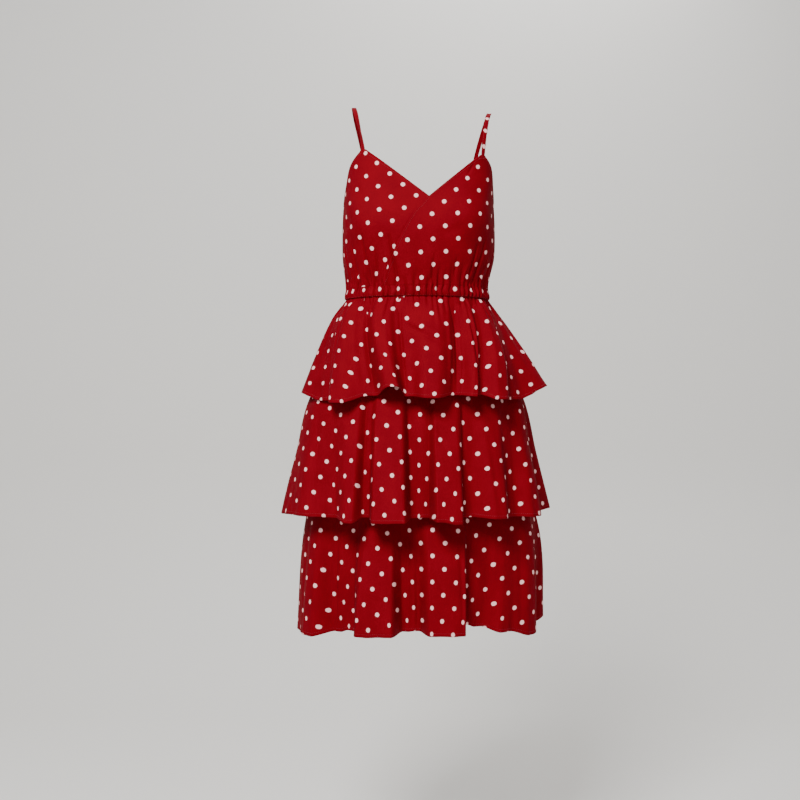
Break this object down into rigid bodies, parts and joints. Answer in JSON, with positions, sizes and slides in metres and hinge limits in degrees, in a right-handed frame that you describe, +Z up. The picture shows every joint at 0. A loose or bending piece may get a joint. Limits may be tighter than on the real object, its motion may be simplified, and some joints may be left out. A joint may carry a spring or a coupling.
{
  "type": "tiered dress",
  "caption": "Sleeveless tiered dress with thin shoulder straps, a crossed V neck, a gathered elastic waist and layered flared flounces.",
  "frame": {"origin": "midway between the tops of the shoulder straps, where the wearer's shoulders hold the dress", "axes": "+Z up, -Y towards the front of the dress, +X towards the wearer's left, which is the right of someone who looks at the front"},
  "size_m": [0.4826, 0.3785, 0.9332],
  "materials": {
    "dotted_crepe": "matte dotted crepe",
    "strap_crepe": "matte dotted crepe, turned into a narrow strap"
  },
  "bodies": {
    "root": {"right_front": "dotted_crepe", "left_front": "dotted_crepe", "back_bodice": "dotted_crepe", "waist_casing": "dotted_crepe", "underskirt": "dotted_crepe", "tier_1": "dotted_crepe", "tier_2": "dotted_crepe", "tier_3": "dotted_crepe", "right_strap": "strap_crepe", "left_strap": "strap_crepe"}
  },
  "joints": []
}
